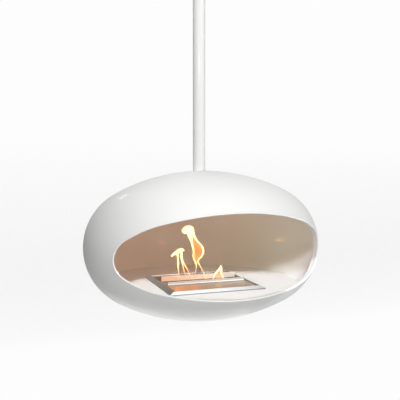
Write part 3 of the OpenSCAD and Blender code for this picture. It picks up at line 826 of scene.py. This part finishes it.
def tint(tree, shader, tone):
    """One colour for the gas and for its glow."""
    tree.links.new(tone, shader.inputs["Emission Color"])
    tree.links.new(tone, shader.inputs["Base Color"])


# Wisps: how many a metre and how drawn out, and how much they add to the height's share.
WISPS, WISP_STRETCH = 70.0, (1, 1, 0.35)
WISP_WEIGHT = 0.3
SHARE_FROM, SHARE_TO = 0.13, 0.62


def fire(name, low, high, strength, thin, thick, foot, head):
    """Flame whose colour and density go unevenly from low to high between two heights."""
    material, tree, shader, place = glowing_gas(name, strength)
    wisp = noise(tree, place, WISPS, 2.0, WISP_STRETCH)
    height = measured(tree, place, "Z", deck_z + foot, deck_z + head, SHARE_FROM, SHARE_TO)
    share = made_uneven(tree, height, wisp, WISP_WEIGHT)
    tint(tree, shader, ramp(tree, share, low, high))
    tree.links.new(ramp(tree, share, thin, thick), shader.inputs["Alpha"])
    return material


HOT, WARM = (1.0, 0.95, 0.62), (1.0, 0.56, 0.24)
EDGE_HOT, EDGE_WARM = (1.0, 0.50, 0.14), (0.85, 0.28, 0.07)
EDGE_GROWS = 1.5
FLAME_VOXEL = 0.0011
HOLLOW_DEPTH = 0.0045

for name, strands, foot, head in (
    ("tall", TALL_FLAME, 0.054, 0.132),
    ("left", LEFT_FLAME, 0.058, 0.124),
    ("right", RIGHT_FLAME, -0.020, 0.045),
):
    core = fire(f"flame_{name}_core", WARM, HOT, 1.4, 0.28, 0.97, foot, head)
    edge = fire(f"flame_{name}_edge", EDGE_WARM, EDGE_HOT, 1.0, 0.02, 0.28, foot, head)
    for layer, grow, material in (("core", 0.0, core), ("edge", EDGE_GROWS, edge)):
        work = bmesh.new()
        for knots in strands:
            strand(work, knots, grow)
        flame_piece(f"flame_{name}_{layer}", work, material, FLAME_VOXEL)
for name, rows, low, high, strength, thin, thick, foot, head in (
    ("tall", TALL_HOLLOW, (0.88, 0.25, 0.07), (0.95, 0.36, 0.11), 0.92, 0.35, 0.66, 0.070, 0.175),
    ("right", RIGHT_HOLLOW, (1.0, 0.50, 0.24), (0.95, 0.40, 0.12), 0.6, 0.05, 0.26, 0.0, 0.045),
):
    material = fire(f"flame_{name}_hollow", low, high, strength, thin, thick, foot, head)
    work = bmesh.new()
    sheet(work, rows, HOLLOW_DEPTH)
    flame_piece(f"flame_{name}_hollow", work, material)

# ---- Low fire ----
# The first low tongues along the slot's front edge, hidden behind the lid's strip:
# they light the rail behind, orange at the left and paler at the right.

LOW_FIRE_HALF = 0.146
LOW_FIRE_Y = -0.0795
LOW_FIRE_TOP = 0.0140
LOW_FIRE_FADE = 0.012
LOW_FIRE_STEPS = 147
LOW_FIRE_GLOW = 0.5
LOW_FIRE_DENSITY = 0.85
# The two ripples of its top edge: (height, radians a metre, radians at the middle).
RIPPLES = [(0.0022, 190, 0.0), (0.0016, 430, 1.0)]
# Its section: (share of the height, half the thickness).
LOW_FIRE = [(0.0, 0.0012), (0.5, 0.0011), (0.85, 0.0006)]


def low_fire_mesh():
    """A thin wavy blade of flame along the slot, lower towards its ends."""
    work = bmesh.new()
    rings = []
    for x in np.linspace(-LOW_FIRE_HALF, LOW_FIRE_HALF, LOW_FIRE_STEPS):
        top = LOW_FIRE_TOP
        for height, pace, start in RIPPLES:
            top += height * math.sin(x * pace + start)
        near_end = min(1.0, (LOW_FIRE_HALF - abs(x)) / LOW_FIRE_FADE + 0.15)
        tall = (top - FLAME_FOOT) * near_end
        front = [(share, -half) for share, half in LOW_FIRE]
        back = [(share, half) for share, half in reversed(LOW_FIRE)]
        ring = []
        for share, off in front + [(1.0, 0.0)] + back:
            up = FLAME_FOOT + tall * share
            ring.append(work.verts.new((x, LOW_FIRE_Y + off, deck_z + up)))
        rings.append(ring)
    join_rings(work, rings)
    return work


low_glow, tree, shader, place = glowing_gas("flame_low", LOW_FIRE_GLOW)
shader.inputs["Alpha"].default_value = LOW_FIRE_DENSITY
along_slot = measured(tree, place, "X", -0.13, 0.13, 0.2, 0.6)
wisp = noise(tree, place, 90.0, 2.0, (1, 1, 0.3))
flicker = made_uneven(tree, along_slot, wisp, 0.25)
tint(tree, shader, ramp(tree, flicker, (1.0, 0.62, 0.37), (1.0, 0.88, 0.72)))
flame_piece("flame_low", low_fire_mesh(), low_glow)

# ---- Room ----
# A pale floor and wall that meet in a wide sweep, far enough off to stay plain. The
# floor keeps a soft shadow of the hearth, and is clear when it is seen from below.

FLOOR_Z = -2.6
FLOOR_FRONT = -6.0
WALL_Y = 4.5
WALL_TOP = 2.5
SWEEP_R = 1.5
ROOM_HALF_W = 9.0
ROOM_GREY = (0.8, 0.8, 0.8, 1)
WHITE_LEVEL = 0.985
SHADOW_REACH = 1.35


def room_sweep():
    """The floor, the sweep and the wall as one smooth strip."""
    floor_end = WALL_Y - SWEEP_R
    profile = [(FLOOR_FRONT, FLOOR_Z), (floor_end, FLOOR_Z)]
    for a in np.radians(np.arange(7.5, 90.1, 7.5)):
        out, up = SWEEP_R * math.sin(a), SWEEP_R * (1 - math.cos(a))
        profile.append((floor_end + out, FLOOR_Z + up))
    profile.append((WALL_Y, WALL_TOP))
    points, faces = [], []
    for y, z in profile:
        points += [(-ROOM_HALF_W, y, z), (ROOM_HALF_W, y, z)]
    for i in range(len(profile) - 1):
        faces.append((2 * i, 2 * i + 1, 2 * i + 3, 2 * i + 2))
    mesh = bpy.data.meshes.new("room")
    mesh.from_pydata(points, [], faces)
    for face in mesh.polygons:
        face.use_smooth = True
    piece = bpy.data.objects.new("room", mesh)
    bpy.context.scene.collection.objects.link(piece)
    return piece


def larger(tree, one, other):
    """The larger of two values."""
    pick = tree.nodes.new("ShaderNodeMath")
    pick.operation = "MAXIMUM"
    tree.links.new(one, pick.inputs[0])
    tree.links.new(other, pick.inputs[1])
    return pick.outputs[0]


def either(tree, share, first, second):
    """The first shader where share is 0, the second where it is 1."""
    mix = tree.nodes.new("ShaderNodeMixShader")
    tree.links.new(share, mix.inputs["Fac"])
    tree.links.new(first, mix.inputs[1])
    tree.links.new(second, mix.inputs[2])
    return mix.outputs[0]


def seen_white(tree, shade, white):
    """Shows white to the camera, mirrors and glass, and the given shader to all else."""
    path = tree.nodes.new("ShaderNodeLightPath")
    seen = larger(tree, path.outputs["Is Camera Ray"], path.outputs["Is Glossy Ray"])
    seen = larger(tree, seen, path.outputs["Is Transmission Ray"])
    return either(tree, seen, shade, white)


room = room_sweep()
wall_paint, tree, shader, _ = new_material("pale_room")
shader.inputs["Base Color"].default_value = ROOM_GREY
shader.inputs["Roughness"].default_value = 1.0
glow = tree.nodes.new("ShaderNodeEmission")
soft_shadow = tree.nodes.new("ShaderNodeAmbientOcclusion")
soft_shadow.inputs["Distance"].default_value = SHADOW_REACH
tree.links.new(soft_shadow.outputs["Color"], glow.inputs["Color"])
glow.inputs["Strength"].default_value = WHITE_LEVEL
side = tree.nodes.new("ShaderNodeNewGeometry")
clear = tree.nodes.new("ShaderNodeBsdfTransparent")
from_above = seen_white(tree, shader.outputs[0], glow.outputs[0])
surface = either(tree, side.outputs["Backfacing"], from_above, clear.outputs[0])
tree.links.new(surface, tree.nodes["Material Output"].inputs["Surface"])
room.data.materials.append(wall_paint)

# ---- Light ----
# A small bright lamp above the camera, soft boxes at the front right, above, behind, at
# the right and below, and a dim even sky. Lamps within the body stand in for daylight on
# the deck, for the glow of the fire and of the steel, and for the fire's two reflections.

SKY_LEVEL = 0.105
AIM = Vector((0, -FORWARD, body_z))

world = bpy.data.worlds.new("sky")
bpy.context.scene.world = world
world.use_nodes = True
tree = world.node_tree
sky = tree.nodes["Background"]
sky.inputs["Color"].default_value = (1, 1, 1, 1)
sky.inputs["Strength"].default_value = SKY_LEVEL
bright = tree.nodes.new("ShaderNodeBackground")
bright.inputs["Color"].default_value = (1, 1, 1, 1)
bright.inputs["Strength"].default_value = WHITE_LEVEL
seen_sky = seen_white(tree, sky.outputs[0], bright.outputs[0])
tree.links.new(seen_sky, tree.nodes["World Output"].inputs["Surface"])


def lamp(name, shape, size, power, colour, at, away):
    """An area lamp at a place, which shines against the way away."""
    light = bpy.data.lights.new(name, "AREA")
    light.shape = shape
    light.size, light.size_y = size
    light.energy = power
    light.color = colour
    holder = bpy.data.objects.new(name, light)
    bpy.context.scene.collection.objects.link(holder)
    holder.location = at
    holder.rotation_euler = Vector(away).to_track_quat("Z", "Y").to_euler()
    return holder


def soft_box(name, azimuth, elevation, distance, size, power):
    """A white lamp that faces the body from an azimuth (0 in front) and an elevation."""
    a, e = math.radians(azimuth), math.radians(elevation)
    away = Vector((math.sin(a) * math.cos(e), -math.cos(a) * math.cos(e), math.sin(e)))
    return lamp(name, "RECTANGLE", size, power, (1, 1, 1), AIM + away * distance, away)


def glow_inside(name, size, power, colour, at, away, spread=180):
    """A lamp within the body that no surface mirrors; its place counts from the deck."""
    holder = lamp(name, "ELLIPSE", size, power, colour, (at[0], at[1], deck_z + at[2]), away)
    holder.data.spread = math.radians(spread)
    holder.visible_glossy = False
    holder.visible_camera = False


key = soft_box("key", -20, 26, 2.65, (0.18, 0.18), 37.3)
soft_box("box_front_right", 40, 30, 3.2, (1.6, 1.2), 15.5)
soft_box("box_above", -12, 70, 3.0, (1.2, 1.2), 19.8).visible_glossy = False
soft_box("box_above_behind", 180, 50, 3.0, (1.2, 1.2), 18).visible_glossy = False
soft_box("strip_behind", -164, 30, 3.2, (0.44, 0.22), 3.4)
soft_box("box_right", 72, -15, 3.2, (1.5, 1.5), 25.0)
soft_box("floor_bounce", 180, -60, 1.0, (1.2, 0.8), 7.2)

DAYLIGHT = (0.90, 1, 1.12)
inner_way = (key.location - AIM).normalized()
for row in (
    ("key_inside", (0.82, 0.235), 0.40, DAYLIGHT, (0.045, -0.29, 0.093), inner_way, 8),
    ("key_inside_right", (0.20, 0.16), 0.014, DAYLIGHT, (0.26, -0.23, 0.113), inner_way, 8),
    (
        "flame_mirrored_right", (0.045, 0.016), 0.0010, (1, 0.54, 0.23),
        (0.3765, 0.1064, 0.1335), (-0.948, -0.314, 0.049), 18,
    ),
    (
        "flame_mirrored_back", (0.024, 0.016), 0.0004, (1, 0.35, 0.2),
        (-0.0285, 0.3753, 0.1071), (0.072, -0.989, 0.127), 10,
    ),
    ("fire_glow", (0.1, 0.1), 0.23, (1, 0.19, 0), (-0.05, -0.02, 0.05), (0.25, -0.5, -0.83)),
    ("steel_glow", (0.2, 0.12), 0.12, (1, 0.88, 0.34), (0.15, -0.06, 0.08), (-0.3, -0.7, -0.6)),
):
    glow_inside(*row)

# ---- Camera ----
# Level with the body's top, about 19 degrees to the left of the opening's middle, and
# turned by a hair so that the pole stands just left of the picture's middle.

LENS = 48.93
SENSOR = 36.0
EYE_DISTANCE = 2.1317
EYE_RISE = 0.280
EYE_TURN = math.radians(19.48)
EYE_DIP = math.radians(2.8724)
EYE_YAW = 0.00174751

camera = bpy.data.cameras.new("eye")
camera.lens = LENS
camera.sensor_width = SENSOR
eye = bpy.data.objects.new("eye", camera)
bpy.context.scene.collection.objects.link(eye)
eye.location = (
    -math.sin(EYE_TURN) * EYE_DISTANCE,
    -math.cos(EYE_TURN) * EYE_DISTANCE,
    body_z + EYE_RISE,
)
eye.rotation_euler = (math.pi / 2 - EYE_DIP, 0, -EYE_TURN - EYE_YAW)
bpy.context.scene.camera = eye

bpy.context.scene.view_settings.view_transform = "Standard"
